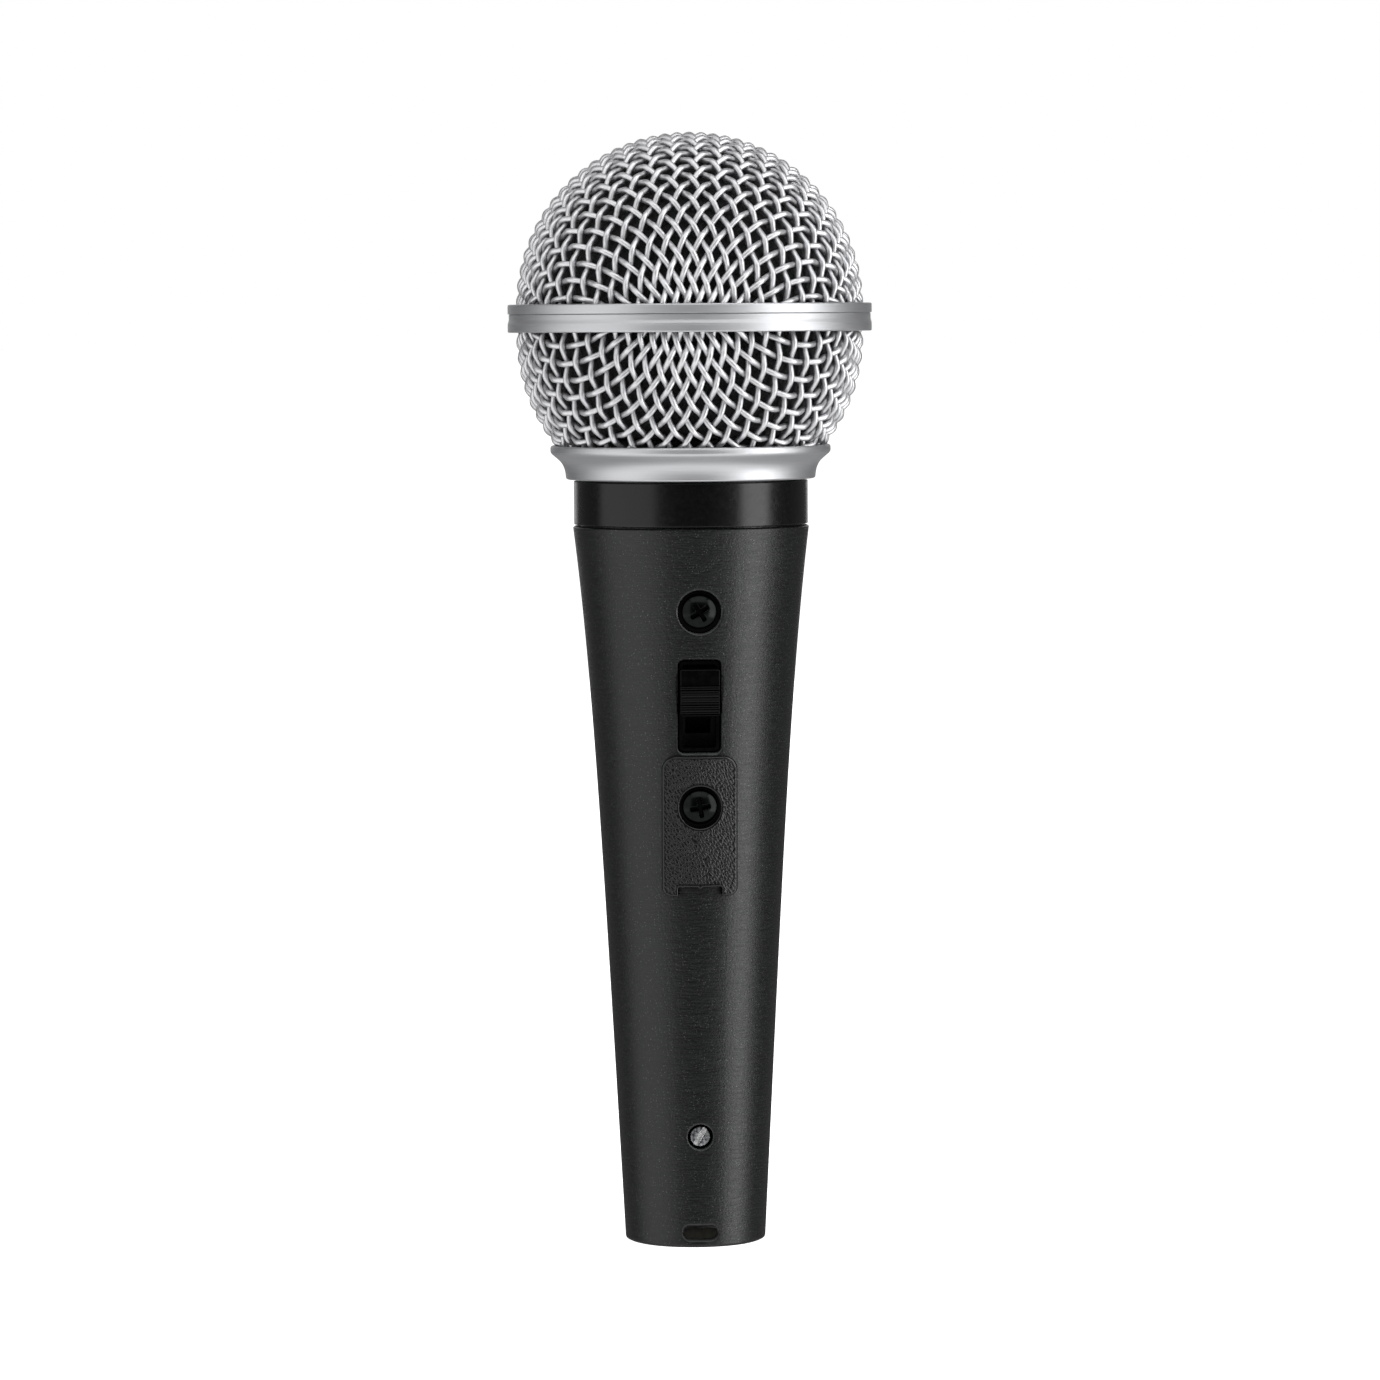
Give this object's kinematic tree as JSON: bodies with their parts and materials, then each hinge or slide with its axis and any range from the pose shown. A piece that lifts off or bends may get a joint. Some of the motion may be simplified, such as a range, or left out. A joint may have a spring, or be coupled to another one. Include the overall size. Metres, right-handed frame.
{
  "type": "dynamic microphone",
  "caption": "Handheld vocal dynamic microphone with a woven-wire ball grille, tapered die-cast handle, slide switch with a reversible lock plate, and a cable socket in the tail.",
  "frame": {"origin": "centre of the flat tail end face, on the axis", "axes": "+Z along the axis from the cable end to the ball grille; the switch, its lock plate and the cable latch slot face -Y; X is across the handle"},
  "size_m": [0.0624, 0.0624, 0.1908],
  "materials": {
    "charcoal_enamel": "satin charcoal enamel over a die casting",
    "satin_nickel": "satin nickel plate",
    "nickel_wire": "nickel-plated woven steel wire",
    "ring_lacquer": "satin black lacquer",
    "black_nylon": "moulded black nylon",
    "grained_plate": "grained satin black moulding",
    "black_screw": "gloss black oxide",
    "screw_steel": "bright steel",
    "foam": "open-cell black foam",
    "rubber": "matt moulded rubber",
    "grey_moulding": "moulded",
    "soft_iron": "machined soft iron",
    "magnet": "sintered",
    "copper_winding": "enamelled copper wire winding",
    "polyester_film": "thin formed film",
    "felt": "felt",
    "phenolic_board": "phenolic board",
    "tinned_brass": "tinned",
    "black_insert": "glass-filled black moulding",
    "bobbin_nylon": "taped bobbin",
    "laminations": "stacked laminations",
    "lead_red": "insulated lead",
    "lead_green": "insulated lead",
    "lead_black": "insulated lead",
    "lead_yellow": "insulated lead"
  },
  "bodies": {
    "body": {"capsule_lead_green": "lead_green", "capsule_lead_red": "lead_red", "cartridge_housing": "grey_moulding", "connector_insert": "black_insert", "connector_pin_1": "tinned_brass", "connector_pin_2": "tinned_brass", "connector_pin_3": "tinned_brass", "connector_screw": "screw_steel", "diaphragm_ring": "phenolic_board", "front_cap": "grey_moulding", "front_screen": "felt", "handle": "charcoal_enamel", "handle_screw": "black_screw", "magnet": "magnet", "magnet_cup": "soft_iron", "name_ring": "ring_lacquer", "output_lead_1": "lead_black", "output_lead_2": "lead_red", "output_lead_3": "lead_yellow", "pole_piece": "soft_iron", "rear_cavity": "grey_moulding", "shock_mount": "rubber", "switch_bezel": "black_nylon", "switch_body": "phenolic_board", "switch_bracket": "soft_iron", "switch_lead_1": "lead_black", "switch_lead_2": "lead_yellow", "switch_lug_1": "tinned_brass", "switch_lug_2": "tinned_brass", "switch_lug_3": "tinned_brass", "switch_lug_4": "tinned_brass", "switch_lug_5": "tinned_brass", "switch_lug_6": "tinned_brass", "top_plate": "soft_iron", "transformer_coil": "bobbin_nylon", "transformer_core": "laminations", "transformer_cradle": "rubber"},
    "grille": {"grille_collar": "satin_nickel", "grille_lower_mesh": "nickel_wire", "grille_band": "satin_nickel", "grille_dome_mesh": "nickel_wire"},
    "windscreen": {"foam_windscreen": "foam"},
    "diaphragm_assembly": {"diaphragm": "polyester_film", "voice_coil": "copper_winding"},
    "button": {"switch_button": "black_nylon"},
    "lock_screw": {"lock_screw": "black_screw"},
    "lock_plate": {"lock_plate": "grained_plate"}
  },
  "joints": [
    {"name": "grille_lift", "type": "slide", "parent": "body", "child": "windscreen", "axis": [0, 0, 1], "range_m": [0, 0.045]},
    {"name": "grille_turn", "type": "hinge", "parent": "windscreen", "child": "grille", "pos_m": [0, 0, 0.131], "axis": [0, 0, 1], "continuous": true},
    {"name": "switch_slide", "type": "slide", "parent": "body", "child": "button", "axis": [0, 0.0752, -0.9972], "range_m": [0, 0.005]},
    {"name": "lock_screw_out", "type": "slide", "parent": "body", "child": "lock_screw", "axis": [0, -0.9972, -0.0752], "range_m": [0, 0.01]},
    {"name": "lock_plate_turn", "type": "hinge", "parent": "lock_screw", "child": "lock_plate", "pos_m": [0, -0.01612, 0.07615], "axis": [0, -0.9972, -0.0752], "range_deg": [0, 180]},
    {"name": "diaphragm_travel", "type": "slide", "parent": "body", "child": "diaphragm_assembly", "axis": [0, 0, 1], "range_m": [-0.0002, 0.0002], "stiffness_N_per_m": 200}
  ],
  "couplings": [
    {"joint": "lock_plate_turn", "follows": "lock_screw_out", "rad_per_m": 314}
  ]
}
